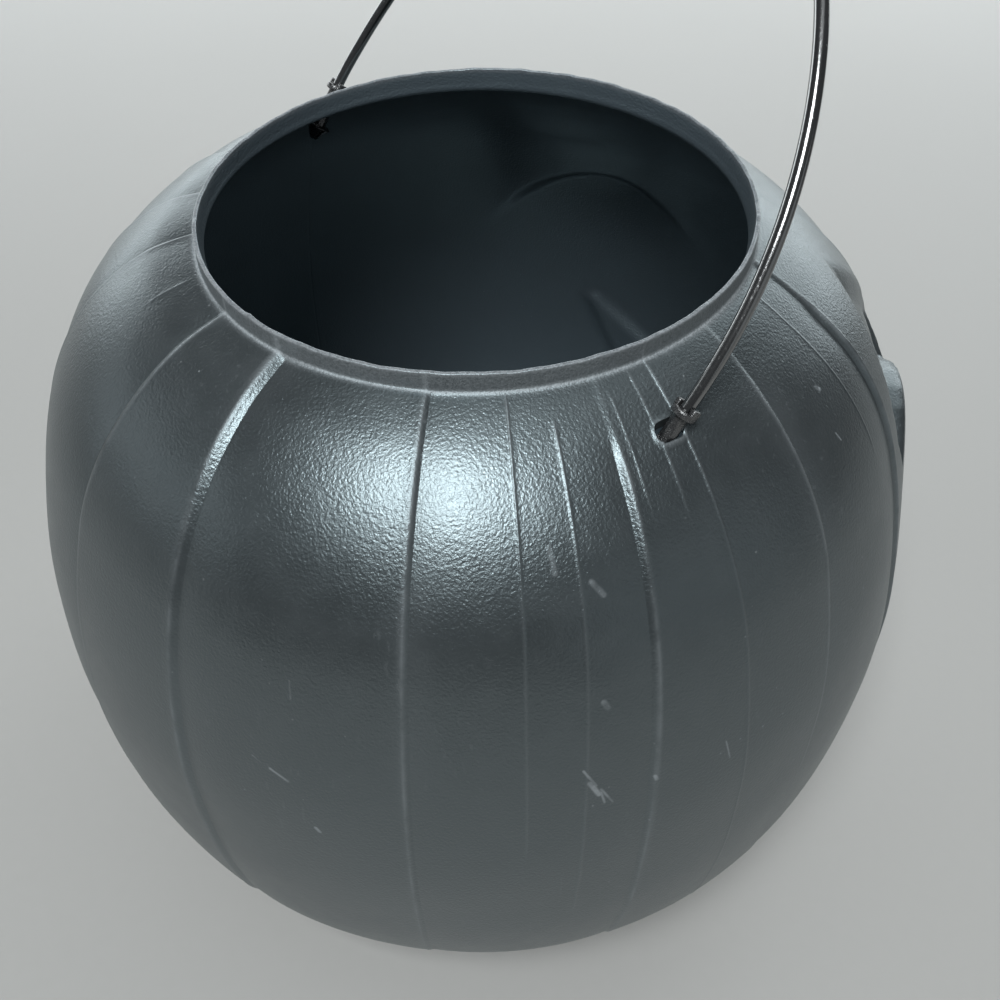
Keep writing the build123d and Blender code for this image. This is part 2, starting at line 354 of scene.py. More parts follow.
push = np.zeros(angle.shape)
crease_mask = np.zeros(angle.shape)
groove_mask = np.zeros(angle.shape)
ridge_mask = np.zeros(angle.shape)
for neck_angle, ring_angle, depth, steep, neck_share in creases:
    beside = beside_line(neck_angle, ring_angle)
    length = foot_fade * (1 - (1 - neck_share) * neck_fade)
    fade = length * (1 - 0.35 * drift(height))
    drop = 1 - beside / (steep * mm)
    groove = np.where(drop < 1, 0.5 * (drop + np.hypot(drop, 0.1)), np.exp(-np.abs(beside) / (6 * mm)))
    groove -= 0.2 * np.exp(-((drop * steep / 0.35) ** 2))
    inner_groove = 0.3 * np.exp(-((beside / (8 * mm)) ** 2))
    push -= depth * mm * fade * np.where(outer_side, groove, inner_groove)
    # the crease mask is a thin line at the top edge of the steep side, which the finish paints pale as wear
    # and as a painted highlight
    crease_mask = np.maximum(crease_mask, np.exp(-((drop * steep / 0.4) ** 2)) * length)
    groove_mask = np.maximum(groove_mask, np.exp(-((beside / (4.0 * mm)) ** 2)) * fade)
ridge_half, ridge_height = 0.22 * mm, 0.13 * mm
for neck_angle, ring_angle, start, stop, strength in mould_lines:
    beside = beside_line(neck_angle, ring_angle)
    length = eased(start * mm - height, -0.5 * mm, 0.5 * mm) * eased(height - stop * mm, -0.5 * mm, 4 * mm)
    ridge = np.exp(-((beside / ridge_half) ** 2)) * length * strength
    push += ridge_height * ridge
    ridge_mask = np.maximum(ridge_mask, ridge)
print("deepest crease", round(float(push.min()), 5), "highest line", round(float(push.max()), 5))

# %% Push of the waves, the cheeks and the face
turn = np.radians(angle)
broad_wave, short_wave, fullness = 0.22 * mm, 0.12 * mm, 0.6 * mm
push += broad_wave * (np.sin(3 * turn + 31 * height + 0.7) * np.sin(55 * height + 2 * turn) - 1)
push += short_wave * (np.sin(7 * turn - 90 * height + 2.1) * np.sin(120 * height + 1.3) - 1)
behind_face = eased(np.abs(angle), 45, 80)
push += fullness * behind_face * (1 - np.exp(-(((height - equator_height) / (26 * mm)) ** 2)))

cheek_angle, cheek_reach, cheek_swell, rim_swell = 33, 11, 2.2 * mm, 0.3 * mm
sill = eye_foot + 2.5 * mm
swell_height = np.where(height < sill, 18 * mm, 5 * mm)
for side in (-1, 1):
    around = wrapped(angle - side * cheek_angle) / cheek_reach
    swell = np.exp(-(around**2) - ((height - sill) / swell_height) ** 2)
    push += cheek_swell * swell * (1 - face_depth)
push += rim_swell * face_rim * (1 - face_depth) * eased(-height, -0.11, -0.09)
push -= face_push
print("pushed in by up to", round(float(-push.min()), 5), "and out by up to", round(float(push.max()), 5))

# %% Burrs round the hinge holes
x = radius * np.sin(turn)
y = -radius * np.cos(turn)
slot_half, slot_long_half, burr_width, burr_height = 1.65 * mm, 2.75 * mm, 0.4 * mm, 0.25 * mm
slot_reach = slot_long_half - slot_half
far_away = 1.0
above_belly = height > 0.15
slot_away = np.full(angle.shape, far_away)
for side in (-1, 1):
    from_line = np.abs(y - hinge.y) - slot_reach
    reach = np.hypot(x - side * half_span, np.maximum(from_line, 0)) - slot_half
    slot_away = np.minimum(slot_away, np.where(above_belly, reach, far_away))
burr_mask = np.exp(-((slot_away / burr_width) ** 2))
push += burr_height * burr_mask
print("points on the burrs", int((burr_mask > 0.5).sum()))

# %% Move the points and trim the lip
# the base and the neck keep their plain shape
flat = eased(row_height, 0.0, 4 * mm) * eased(neck_foot + 0.5 * mm - row_height, 0, 1 * mm)
inner_flat = flat * eased(neck_foot - row_height, 1.5 * mm, 5 * mm)
push *= np.where(outer_side, flat[:, None], -inner_flat[:, None])
skin = np.stack((
    (radius + push * row_out[:, None]) * np.sin(turn),
    -(radius + push * row_out[:, None]) * np.cos(turn),
    height + push * row_up[:, None],
), axis=-1)

# the knife that trimmed the lip ran a little out of level, and left three small flags of plastic
high_side, cut_slope, cut_wave = np.array((-0.5, -math.sqrt(0.75))), 0.0227, 0.1 * mm
# angle and height in mm of each flag
lip_flags, flag_reach = ((158.6, 0.35), (-165.6, 0.45), (-42.3, 0.3)), 0.8
above_neck = eased(row_height, 161 * mm, 167 * mm)[:, None]
skin[..., 2] += cut_slope * (skin[..., 0] * high_side[0] + skin[..., 1] * high_side[1]) * above_neck
on_lip = eased(row_height, lip_height - 0.6 * mm, lip_height)[:, None]
skin[..., 2] += cut_wave * on_lip * (np.sin(9 * turn + 1) * np.sin(23 * turn) + 0.6 * np.sin(61 * turn))
for flag_angle, flag_height in lip_flags:
    skin[..., 2] += flag_height * mm * on_lip * np.exp(-((wrapped(angle - flag_angle) / flag_reach) ** 2))
widest = np.hypot(skin[..., 0], skin[..., 1]).max()
print("widest", round(float(widest), 4), "highest", round(float(skin[..., 2].max()), 4))

# %% [markdown]
# ## The skin as a mesh
#
# The grid closes round the pail, and a point in the middle of the base closes it inside and out, so the skin
# is one watertight mesh. The two hinge holes are punched after moulding, so they are cut out of the finished
# skin too.


# %% Pieces from points, and cutting one with another
def piece_from(name, points, faces):
    mesh = bpy.data.meshes.new(name)
    mesh.from_pydata(points, [], faces)
    mesh.validate()
    piece = bpy.data.objects.new(name, mesh)
    bpy.context.collection.objects.link(piece)
    return piece


def combine(piece, tool, operation):
    """Cuts a tool out of a piece, or joins it on, and throws the tool away."""
    change = piece.modifiers.new("combine", "BOOLEAN")
    change.operation, change.object, change.solver = operation, tool, "MANIFOLD"
    bpy.context.view_layer.objects.active = piece
    bpy.ops.object.modifier_apply(modifier=change.name)
    bpy.data.objects.remove(tool)


def prism(name, outline, low, high):
    count = len(outline)
    points = [(px, py, z) for z in (low, high) for px, py in outline]
    sides = [(i, (i + 1) % count, count + (i + 1) % count, count + i) for i in range(count)]
    return piece_from(name, points, sides + [tuple(range(count))[::-1], tuple(range(count, 2 * count))])


def keep_mask(piece, name, weights):
    values = piece.data.attributes.new(name, "FLOAT", "POINT").data
    values.foreach_set("value", weights.astype(np.float32))


print("mesh helpers ready")

# %% The skin and its masks
row_count, column_count = angle.shape
index = np.arange(row_count * column_count).reshape(row_count, column_count)
following = np.roll(index, -1, axis=1)
quads = np.stack((index[:-1], following[:-1], following[1:], index[1:]), axis=-1)
quads = quads.reshape(-1, 4).tolist()
bottom, top = row_count * column_count, row_count * column_count + 1
fans = [(bottom, b, a) for a, b in zip(index[0].tolist(), following[0].tolist())]
fans += [(top, a, b) for a, b in zip(index[-1].tolist(), following[-1].tolist())]
points = skin.reshape(-1, 3).tolist() + [(0, 0, 0), (0, 0, wall)]
pail_skin = piece_from("pail_skin", points, quads + fans)

inside_mask = np.broadcast_to((np.arange(row_count) >= inner_start)[:, None], angle.shape)
neck_line = np.exp(-((height - neck_foot - 0.15 * mm) / (0.30 * mm)) ** 2)
neck_wall = 0.35 * eased(height, neck_foot, neck_foot + mm)
masks = {
    "crease": crease_mask, "groove": groove_mask, "ridge": ridge_mask, "burr": burr_mask,
    "neck": np.maximum(neck_line, neck_wall) * (1 - inside_mask),
    "lip": np.broadcast_to(on_lip, angle.shape), "inside": inside_mask,
}
for name, weights in masks.items():
    base_middles = (0, 1 if name == "inside" else 0)
    keep_mask(pail_skin, name, np.append(weights.reshape(-1), base_middles))
print("masks", sorted(masks))

# %% Punch the hinge holes
punch_low, punch_high = 0.145, 0.18
slot_turns = np.linspace(0, math.pi, 17)
for side in (-1, 1):
    half_round = [(math.cos(t) * slot_half, math.sin(t) * slot_half + slot_reach) for t in slot_turns]
    ring = half_round + [(-px, -py) for px, py in half_round]
    outline = [(side * half_span + px, hinge.y + py) for px, py in ring]
    combine(pail_skin, prism("hole_punch", outline, punch_low, punch_high), "DIFFERENCE")
pail_skin.data.shade_smooth()
pail_skin.data.set_sharp_from_angle(angle=math.radians(50))
print("skin", len(pail_skin.data.vertices), "points", len(pail_skin.data.polygons), "faces")

# %% [markdown]
# ## The handle rod
#
# The handle is a thin moulded rod that arches over the mouth. A two-part mould leaves a fine line of flash
# along its side, and two tiny nubs where a runner was broken off. Here a slightly uneven ring is carried
# along the arch, so the line and the nubs are real shape and catch the light.

# %% Sizes of the handle
rod_radius = 1.2 * mm
arm_bend, arm_turn = 91.5 * mm, math.radians(48)
shoulder_slope = (half_span - shoulder_middle[0]) / (hinge.z - shoulder_middle[1])
upright_wall = wall * math.hypot(1, shoulder_slope)
edge_reach = math.hypot(math.sin(lean), shoulder_slope)
barrel_radius, collar_radius, collar_height = 1.45 * mm, 2.4 * mm, 1.3 * mm
barb_radius, barb_length, socket_depth = 2.9 * mm, 3.6 * mm, 3.2 * mm
collar_foot = (upright_wall / 2 + 0.3 * mm + collar_radius * edge_reach) / math.cos(lean)
collar_top = collar_foot + collar_height
barb_top = (upright_wall / 2 + 0.8 * mm + barb_radius * edge_reach) / math.cos(lean)
arm_middle = half_span - arm_bend
crown_bend = (arm_middle + arm_bend * math.cos(arm_turn)) / math.cos(arm_turn)
crown_middle = collar_top + (arm_bend - crown_bend) * math.sin(arm_turn)

handle_x = np.array((1.0, 0.0, 0.0))
handle_up = np.array((0.0, -math.sin(lean), math.cos(lean)))
handle_side = np.cross(handle_x, handle_up)


def on_handle(across, rise, aside=0.0):
    """A point of the leaning handle: along the hinge line, up the arch and aside out of its plane."""
    across, rise, aside = (np.asarray(v, float)[..., None] for v in (across, rise, aside))
    return np.array(hinge) + across * handle_x + rise * handle_up + aside * handle_side


print("crown of the arch at", [round(float(v), 4) for v in on_handle(0, crown_middle + crown_bend)])

# %% Arch of the rod
ring_step, foot_rings, foot_gap = 1.2 * mm, 4, 0.05 * mm
arm = arc_rows((arm_middle, collar_top), arm_bend, 0, arm_turn, ring_step)
crown = arc_rows((0, crown_middle), crown_bend, arm_turn, math.pi / 2, ring_step)
foot_rises = np.linspace(collar_top - socket_depth + foot_gap, collar_top, foot_rings, endpoint=False)
foot = np.column_stack((np.full(foot_rings, half_span), foot_rises))
half_arch = np.vstack((foot, arm, crown))
arch = np.vstack((half_arch, [(0, crown_middle + crown_bend)], half_arch[::-1] * (-1, 1)))
arch_run = np.gradient(arch, axis=0)
arch_run /= np.linalg.norm(arch_run, axis=1)[:, None]
arch_length = np.concatenate(([0], np.cumsum(np.linalg.norm(np.diff(arch, axis=0), axis=1))))
print("rod length", round(float(arch_length[-1]), 4), "rings", len(arch))

# %% The rod with its flash and nubs
ring_points, flash_turn, flash_reach, flash_height = 28, math.pi / 2, 0.09, 0.12 * mm
nub_rises, nub_turn, nub_reach = (22.0 * mm, 26.0 * mm), 0.5, 0.35
nub_half, nub_height, sway_reach = 0.9 * mm, 0.45 * mm, 0.35 * mm
even_turns = np.linspace(0, 2 * math.pi, ring_points, endpoint=False)
rod_turns = np.concatenate((even_turns, flash_turn + np.array((-0.1, 0.1))))
rod_turns = np.unique(np.round(rod_turns, 4))
flash = np.exp(-((rod_turns - flash_turn) / flash_reach) ** 2)
thick = np.full((len(arch), len(rod_turns)), rod_radius)
thick += flash_height * flash[None, :] * eased(arch[:, 1], collar_top, collar_top + 3 * mm)[:, None]
for nub_rise in nub_rises:
    near = np.exp(-((arch[:, 1] - nub_rise) / nub_half) ** 2) * (arch[:, 0] > 0)
    thick += nub_height * near[:, None] * np.exp(-((rod_turns - nub_turn) / nub_reach) ** 2)[None, :]
free = eased(arch[:, 1], collar_top, collar_top + 12 * mm)
sway = sway_reach * free * np.sin(arch_length * 55) * np.sin(arch_length * 13 + 1)
ring_out = np.cos(rod_turns)[None, :] * thick
across = arch[:, :1] + arch_run[:, 1:] * ring_out
rise = arch[:, 1:] - arch_run[:, :1] * ring_out
rod = on_handle(across, rise, sway[:, None] + np.sin(rod_turns)[None, :] * thick)
ring_count, ring_size = thick.shape
index = np.arange(ring_count * ring_size).reshape(ring_count, ring_size)
following = np.roll(index, -1, axis=1)
quads = np.stack((index[:-1], index[1:], following[1:], following[:-1]), axis=-1)
quads = quads.reshape(-1, 4).tolist()
caps = [tuple(index[0].tolist()), tuple(index[-1].tolist()[::-1])]
handle_rod = piece_from("handle_rod", rod.reshape(-1, 3).tolist(), quads + caps)
keep_mask(handle_rod, "flash", np.broadcast_to(flash, thick.shape).reshape(-1))
handle_rod.data.shade_smooth()
handle_rod.data.set_sharp_from_angle(angle=math.radians(60))
print("rod", len(handle_rod.data.vertices), "points")

# %% [markdown]
# ## The plugs on the rod's ends
#
# Each end of the rod sits in a dull moulded plug. Its collar sits over the shoulder and carries two small
# ears. Below it a flat-sided barrel goes through the hole, and a split barb inside keeps it there. The plug
# is turned from a profile with rounded corners, and then the ears are joined on and the slit is cut.


# %% Turned solids and blocks
def turned(name, outline, turns=48):
    """A solid of revolution about the plug's own axis, whose outline starts and ends on the axis."""
    steps = np.linspace(0, 2 * math.pi, turns, endpoint=False)
    rings = np.array(outline[1:-1])
    sides = 1 + 0.035 * np.cos(8 * steps)[None, :] * rings[:, 2:]
    levels = np.broadcast_to(rings[:, 1:2], (len(rings), turns))
    reach = rings[:, :1] * sides
    grid = np.stack((reach * np.cos(steps), reach * np.sin(steps), levels), axis=-1)
    order = np.arange(grid.shape[0] * turns).reshape(-1, turns)
    after = np.roll(order, -1, axis=1)
    faces = np.stack((order[:-1], after[:-1], after[1:], order[1:]), axis=-1)
    faces = faces.reshape(-1, 4).tolist()
    first, last = order.size, order.size + 1
    faces += [(first, b, a) for a, b in zip(order[0].tolist(), after[0].tolist())]
    faces += [(last, a, b) for a, b in zip(order[-1].tolist(), after[-1].tolist())]
    points = grid.reshape(-1, 3).tolist() + [(0, 0, outline[0][1]), (0, 0, outline[-1][1])]
    return piece_from(name, points, faces)


def block(name, size, middle, bevel):
    solid = bmesh.new()
    bmesh.ops.create_cube(solid, size=1)
    bmesh.ops.scale(solid, vec=size, verts=solid.verts)
    if bevel:
        bmesh.ops.bevel(solid, geom=solid.edges[:], offset=bevel, segments=3, profile=0.5, affect="EDGES")
    bmesh.ops.translate(solid, vec=middle, verts=solid.verts)
    mesh = bpy.data.meshes.new(name)
    solid.to_mesh(mesh)
    solid.free()
    made = bpy.data.objects.new(name, mesh)
    bpy.context.collection.objects.link(made)
    return made


print("turning and block helpers ready")

# %% Outline of a plug
tip = barb_top + barb_length
corner, nick = 0.25 * mm, 0.07 * mm
# radius, height along the plug's axis and how flat-sided it is there
plug_outline = [
    (0, -tip, 0), (0.7 * mm, -tip, 0), (1.0 * mm, -tip + corner, 0),
    (barb_radius - corner, -barb_top - 0.75 * mm, 0), (barb_radius, -barb_top - 0.45 * mm, 0),
    (barb_radius, -barb_top - corner, 0), (barb_radius - corner, -barb_top, 0),
    (barrel_radius + corner, -barb_top, 0.5), (barrel_radius, -barb_top + corner, 1),
    (barrel_radius, -1.5 * mm, 1), (barrel_radius, 1.2 * mm, 1),
    (barrel_radius, collar_foot - corner, 1), (barrel_radius + corner, collar_foot, 0.5),
    (collar_radius - corner, collar_foot, 0), (collar_radius - nick, collar_foot + nick, 0),
    (collar_radius, collar_foot + corner, 0), (collar_radius, collar_top - corner, 0),
    (collar_radius - nick, collar_top - nick, 0), (collar_radius - corner, collar_top, 0),
    (rod_radius + 0.16 * mm, collar_top, 0), (rod_radius + 0.03 * mm, collar_top - 0.12 * mm, 0),
    (rod_radius + 0.02 * mm, collar_top - socket_depth, 0), (0, collar_top - socket_depth, 0),
]
print("plug from", round(-tip, 4), "to", round(collar_top, 4), "along its axis")

# %% Turn, join and cut one plug for each end
ear_size, ear_inset, ear_bevel = (1.1 * mm, 2.0 * mm, 2.0 * mm), 0.55 * mm, 0.3 * mm
slit_size, slit_rise = (8 * mm, 0.7 * mm, barb_length + 1.2 * mm), 0.9 * mm
plugs = {}
for name, side in (("left_plug", -1), ("right_plug", 1)):
    plug = turned(name, plug_outline)
    for ear in (-1, 1):
        ear_middle = (ear * (collar_radius - ear_inset), 0, collar_top)
        combine(plug, block("ear", ear_size, ear_middle, ear_bevel), "UNION")
    combine(plug, block("slit", slit_size, (0, 0, -tip + slit_rise), 0), "DIFFERENCE")
    local = np.array([v.co for v in plug.data.vertices])
    leaning = on_handle(side * half_span + local[:, 0], local[:, 2], local[:, 1])
    plug.data.vertices.foreach_set("co", leaning.reshape(-1))
    plug.data.flip_normals()
    plug.data.shade_smooth()
    plug.data.set_sharp_from_angle(angle=math.radians(55))
    plugs[name] = plug
print("plugs", {name: len(plug.data.vertices) for name, plug in plugs.items()})

# %% [markdown]
# ## Maths on sockets
#
# A finish is a web of nodes, and most of its nodes only add or multiply. This small class wraps one socket,
# so that a mask can be written as `1 - noise * 0.5` and the Math nodes appear by themselves. Any other node
# comes from its one method, which takes the node's type, its settings and what goes into its sockets.


# %% A socket that can be used in sums
class Wire:
    def __init__(self, tree, socket=None):
        self.tree = tree
        self.socket = socket

    def node(self, kind, settings=None, sockets=None, out=0):
        made = self.tree.nodes.new(kind)
        for name, value in (settings or {}).items():
            setattr(made, name, value)
        for name, value in (sockets or {}).items():
            self.join(value, made.inputs[name])
        return Wire(self.tree, made.outputs[out])

    def join(self, value, socket):
        if isinstance(value, Wire):
            self.tree.links.new(value.socket, socket)
        else:
            socket.default_value = value

    def maths(self, operation, *values):
        return self.node("ShaderNodeMath", {"operation": operation}, dict(enumerate(values)))

    def __add__(self, other):
        return self.maths("ADD", self, other)

    def __sub__(self, other):
        return self.maths("SUBTRACT", self, other)

    def __rsub__(self, other):
        return self.maths("SUBTRACT", other, self)

    def __mul__(self, other):
        return self.maths("MULTIPLY", self, other)

    __radd__ = __add__
    __rmul__ = __mul__

    def rise(self, low, high):
        """0 below low, 1 above high and eased between them."""
        return self.node("ShaderNodeMapRange", {"interpolation_type": "SMOOTHSTEP"},
                         {"Value": self, "From Min": low, "From Max": high})

    def mix(self, low, high):
        """A colour between two, with this mask as the share of the second."""
        return self.node("ShaderNodeMix", {"data_type": "RGBA"}, {0: self, 6: low, 7: high}, 2)

    def noise(self, scale, detail=2.0, rough=0.5):
        """Noise at this place, in cells of 1/scale metres."""
        return self.node("ShaderNodeTexNoise", {},
                         {"Vector": self, "Scale": scale, "Detail": detail, "Roughness": rough})

    def vector(self, operation, other, out=0):
        return self.node("ShaderNodeVectorMath", {"operation": operation}, {0: self, 1: other}, out)

    def stretched(self, factors):
        return self.vector("MULTIPLY", factors)


def new_finish(name):
    finish = bpy.data.materials.new(name)
    finish.use_nodes = True
    tree = finish.node_tree
    start = Wire(tree)
    place = start.node("ShaderNodeTexCoord", out="Object")
    return finish, start, place, tree.nodes["Principled BSDF"].inputs


def mask(start, name):
    return start.node("ShaderNodeAttribute", {"attribute_name": name}, out="Fac")


def bumps(start, height, depth, strength=1.0):
    return start.node("ShaderNodeBump", {},
                      {"Height": height, "Distance": depth, "Strength": strength}, "Normal")


print("socket class ready")

# %% [markdown]
# ## Black blown skin
#
# Blown polyethylene comes out of the mould with a fine grain, like orange peel, so its highlights are broad
# and break up into tiny specks. This pail has been carried about: the creases and the neck line are worn
# pale, there are a few scratches and specks of dust, and the cut edge of the lip is lighter than the skin.
# Near the top the pale lines on the creases and mould lines are also a painted highlight, the rims of the
# hinge holes carry a painted highlight, and the inside is painted a lighter blue-grey as painted light.
# The scratches are short lines between two points of the skin, and a shader can measure how far it is from
# such a line.


# %% Where the scratches are
def skin_point(degrees_round, height_mm):
    """A point on the skin's outer face, found from its angle and height."""
    rows = outer_rows[base_rows:]
    radius_there = float(np.interp(height_mm * mm, rows[:, 1], rows[:, 0]))
    around = math.radians(degrees_round)
    return Vector((radius_there * math.sin(around), -radius_there * math.cos(around), height_mm * mm))


# angle and height of both ends, half width in mm and how pale it is
scratches = (
    (-144.5, 110.5, -140.9, 107.0, 0.20, 0.75), (-137.0, 143.0, -137.8, 136.0, 0.22, 0.6),
    (-140.2, 130.0, -140.0, 126.5, 0.25, 0.45), (-107.4, 128.3, -107.0, 127.0, 0.5, 0.4),
    (-109.0, 111.0, -108.0, 107.5, 0.5, 0.7), (-107.8, 108.0, -107.4, 105.0, 0.3, 0.6),
    (-101.9, 108.4, -101.7, 107.6, 0.4, 0.5), (-93.4, 110.0, -92.8, 105.0, 0.2, 0.5),
    (-137.6, 96.0, -137.2, 95.0, 0.4, 0.6), (-112.0, 152.0, -111.6, 149.0, 0.5, 0.35),
    (-142.4, 108.9, -140.4, 107.3, 0.35, 0.6), (-109.7, 114.3, -108.3, 110.0, 0.25, 0.5),
    (-107.8, 108.8, -106.5, 104.6, 0.3, 0.55), (-107.6, 147.3, -106.4, 145.4, 0.5, 0.3),
    (-130.4, 164.6, -128.3, 163.4, 0.22, 0.5), (-65.0, 155.0, -64.6, 154.5, 0.45, 0.7),
    (-66.8, 149.0, -66.5, 147.6, 0.2, 0.5), (-61.3, 136.2, -61.1, 135.6, 0.35, 0.5),
)
print("scratches", len(scratches))

# %% Masks and noise of the skin
skin_finish, start, place, sockets = new_finish("black_blown_skin")
crease, groove, ridge = mask(start, "crease"), mask(start, "groove"), mask(start, "ridge")
burr, neck, lip, inside = mask(start, "burr"), mask(start, "neck"), mask(start, "lip"), mask(start, "inside")

cloud = place.noise(22.0, 3.0)
mottle = place.noise(160.0, 3.0, 0.6)
grain = place.noise(1750.0, 2.0, 0.55)
fine = place.noise(3800.0, 1.0)
print("masks and noise", len(skin_finish.node_tree.nodes), "nodes")

# %% Scratches, specks, worn places and painted highlights
scratch = None
for a_turn, a_height, b_turn, b_height, half_width, pale in scratches:
    a, b = skin_point(a_turn, a_height), skin_point(b_turn, b_height)
    run = b - a
    from_a = place.vector("SUBTRACT", a)
    share = from_a.vector("DOT_PRODUCT", run / run.length_squared, "Value")
    share = start.node("ShaderNodeClamp", {}, {"Value": share})
    nearest = start.node("ShaderNodeVectorMath", {"operation": "SCALE"}, {0: run, "Scale": share})
    apart = from_a.vector("DISTANCE", nearest, "Value")
    mark = (1 - apart.rise(half_width * mm * 0.5, half_width * mm * 1.5)) * pale
    scratch = mark if scratch is None else scratch.maths("MAXIMUM", scratch, mark)
scratch = scratch * (0.35 + mottle.rise(0.36, 0.56) * 0.65)

specks = 0
# cells in a metre, size of a speck as a share of its cell, and which share of the cells stays clean
for scale, size, clean in ((150.0, 0.05, 0.78), (420.0, 0.12, 0.86)):
    cell = place.node("ShaderNodeTexVoronoi", {}, {"Vector": place, "Scale": scale}, "Distance")
    lot = place.node("ShaderNodeTexVoronoi", {}, {"Vector": place, "Scale": scale}, "Color")
    lot = lot.node("ShaderNodeSeparateColor", {}, {"Color": lot}, 0)
    chosen = lot.rise(clean, clean + 0.04) * cloud.rise(0.35, 0.6)
    specks = specks + (1 - cell.rise(size * 0.4, size)) * chosen
hairs = place.stretched((1.0, 1.0, 0.035)).noise(900.0, 1.0).rise(0.67, 0.73) * cloud.rise(0.52, 0.62)

# creases and mould lines get a thin pale line: partly wear, and near the top a painted highlight where they
# catch the light
near_top = start.node("ShaderNodeSeparateXYZ", {}, {"Vector": place}, "Z").rise(0.150, 0.164)
crease_wear_and_sheen = crease * (0.08 + mottle.rise(0.34, 0.62) * 0.16 + near_top * 0.3)
groove_wear = groove * cloud.rise(0.4, 0.7) * 0.04
ridge_wear_and_sheen = ridge * (0.08 + near_top * 0.3)
neck_wear = neck * (0.6 + fine.rise(0.4, 0.6) * 0.4 + grain.rise(0.4, 0.6) * 0.3)
wear_and_sheen = crease_wear_and_sheen + groove_wear + ridge_wear_and_sheen + neck_wear + hairs * 0.06
# the rims of the hinge holes are painted pale as a painted highlight
wear_and_sheen = (wear_and_sheen + scratch) * (1 - inside) + specks * (0.45 - inside * 0.2) + burr * (1 - inside) * 0.3
wear_and_sheen = start.node("ShaderNodeClamp", {}, {"Value": wear_and_sheen})
print("with wear", len(skin_finish.node_tree.nodes), "nodes")

# %% Finish of the skin
black = cloud.mix((0.018, 0.0202, 0.0215, 1), (0.028, 0.0308, 0.0325, 1))
black = (mottle.rise(0.35, 0.75) * 0.35).mix(black, (0.038, 0.041, 0.043, 1))
# painted light: the inside is painted a lighter blue-grey, standing in for the light that reaches into the
# pail
black = (inside * 0.9).mix(black, (0.060, 0.078, 0.092, 1))
# the pale colour of the wear, scratches and dust, and of the painted highlights on creases, mould lines and
# hole rims
colour = (wear_and_sheen * 0.8).mix(black, (0.36, 0.378, 0.395, 1))
colour = (lip * (0.3 + grain.rise(0.3, 0.6) * 0.6)).mix(colour, (0.22, 0.225, 0.238, 1))
start.join(colour, sockets["Base Color"])
roughness = 0.34 + (cloud - 0.5) * 0.10 + (mottle - 0.5) * 0.10 + wear_and_sheen * 0.25 + inside * 0.05
start.join(roughness, sockets["Roughness"])
drawn = place.stretched((1.0, 1.0, 0.02)).noise(700.0, 2.0)
relief_height = grain + fine * 0.15 + mottle * 0.12 + drawn * 0.12 + wear_and_sheen * 0.3
start.join(bumps(start, relief_height, 0.11 * mm), sockets["Normal"])
sockets["IOR"].default_value = 2.15
sockets["Specular Tint"].default_value = (0.80, 0.95, 1.0, 1)
print("skin finish", len(skin_finish.node_tree.nodes), "nodes")

# %% [markdown]
# ## Glossy rod and dull plugs
#
# The rod was moulded against a polished tool, so it is glossy and shows one long clean highlight, with
# hair-fine scratches along it and a paler line of flash. The plugs are a rougher plastic with a dull,
# slightly chalky face.

# %% Finish of the rod
rod_finish, start, place, sockets = new_finish("glossy_black_rod")
flash_line = mask(start, "flash")
smear = place.noise(90.0, 3.0)
hair = place.stretched((1.0, 1.0, 0.06)).noise(2600.0, 1.0)
colour = smear.mix((0.006, 0.006, 0.0065, 1), (0.014, 0.0145, 0.015, 1))
colour = (flash_line * smear.rise(0.35, 0.65) * 0.35).mix(colour, (0.22, 0.22, 0.22, 1))
start.join(colour, sockets["Base Color"])
roughness = 0.17 + (smear - 0.5) * 0.14 + hair.rise(0.55, 0.8) * 0.12 + flash_line * 0.15
start.join(roughness, sockets["Roughness"])
start.join(bumps(start, smear * 0.6 + hair * 0.25, 0.06 * mm, 0.6), sockets["Normal"])
sockets["IOR"].default_value = 2.9
print(rod_finish.name, len(rod_finish.node_tree.nodes), "nodes")

# %% Finish of the plugs
plug_finish, start, place, sockets = new_finish("dull_black_plug")
grit = place.noise(2600.0, 3.0, 0.65)
chalk = place.noise(480.0, 3.0)
colour = grit.mix((0.010, 0.010, 0.011, 1), (0.024, 0.024, 0.025, 1))
colour = (chalk.rise(0.5, 0.8) * 0.5).mix(colour, (0.11, 0.11, 0.112, 1))
start.join(colour, sockets["Base Color"])
start.join(0.26 + (grit - 0.5) * 0.3, sockets["Roughness"])
sockets["IOR"].default_value = 2.2
start.join(bumps(start, grit + chalk * 0.8, 0.10 * mm, 0.9), sockets["Normal"])
print(plug_finish.name, len(plug_finish.node_tree.nodes), "nodes")

# %% [markdown]
# ## Put the pieces on their bodies
#
# The skin belongs to the pail. The rod and its two plugs swing together, so they ride on the handle's body.
# Each piece stands for one solid of the frame, which is hidden, and gets its own finish.

# %% Ride, replace and paint
pairs = (
    (pail_skin, "pail", "pail_shell", "shell_plastic", skin_finish),
    (handle_rod, "bail", "bail_rod", "rod_plastic", rod_finish),
    (plugs["left_plug"], "bail", "left_end_plug", "plug_plastic", plug_finish),
    (plugs["right_plug"], "bail", "right_end_plug", "plug_plastic", plug_finish),
)
for piece, body, node, slot, finish in pairs:
    piece.data.materials.clear()
    piece.data.materials.append(finish)
    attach(piece, body)
    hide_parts(node)
    print(piece.name, "rides on", body, "for", node)

# %% [markdown]
# ## Floor, light and camera
#
# The pail stands on a plain pale floor. One softbox hangs high behind the camera and a little to its left,
# where the broad highlight on the shoulder says it was. A dark glossy thing is mostly seen by what it
# reflects, and the shoulders on both sides mirror what is low and far behind the pail, so a long low strip
# stands there. The other panels are weak: one over each side, one in front and one above, so that the rod
# and the eye have something to mirror. The camera looks down at the near side, and the face looks away.


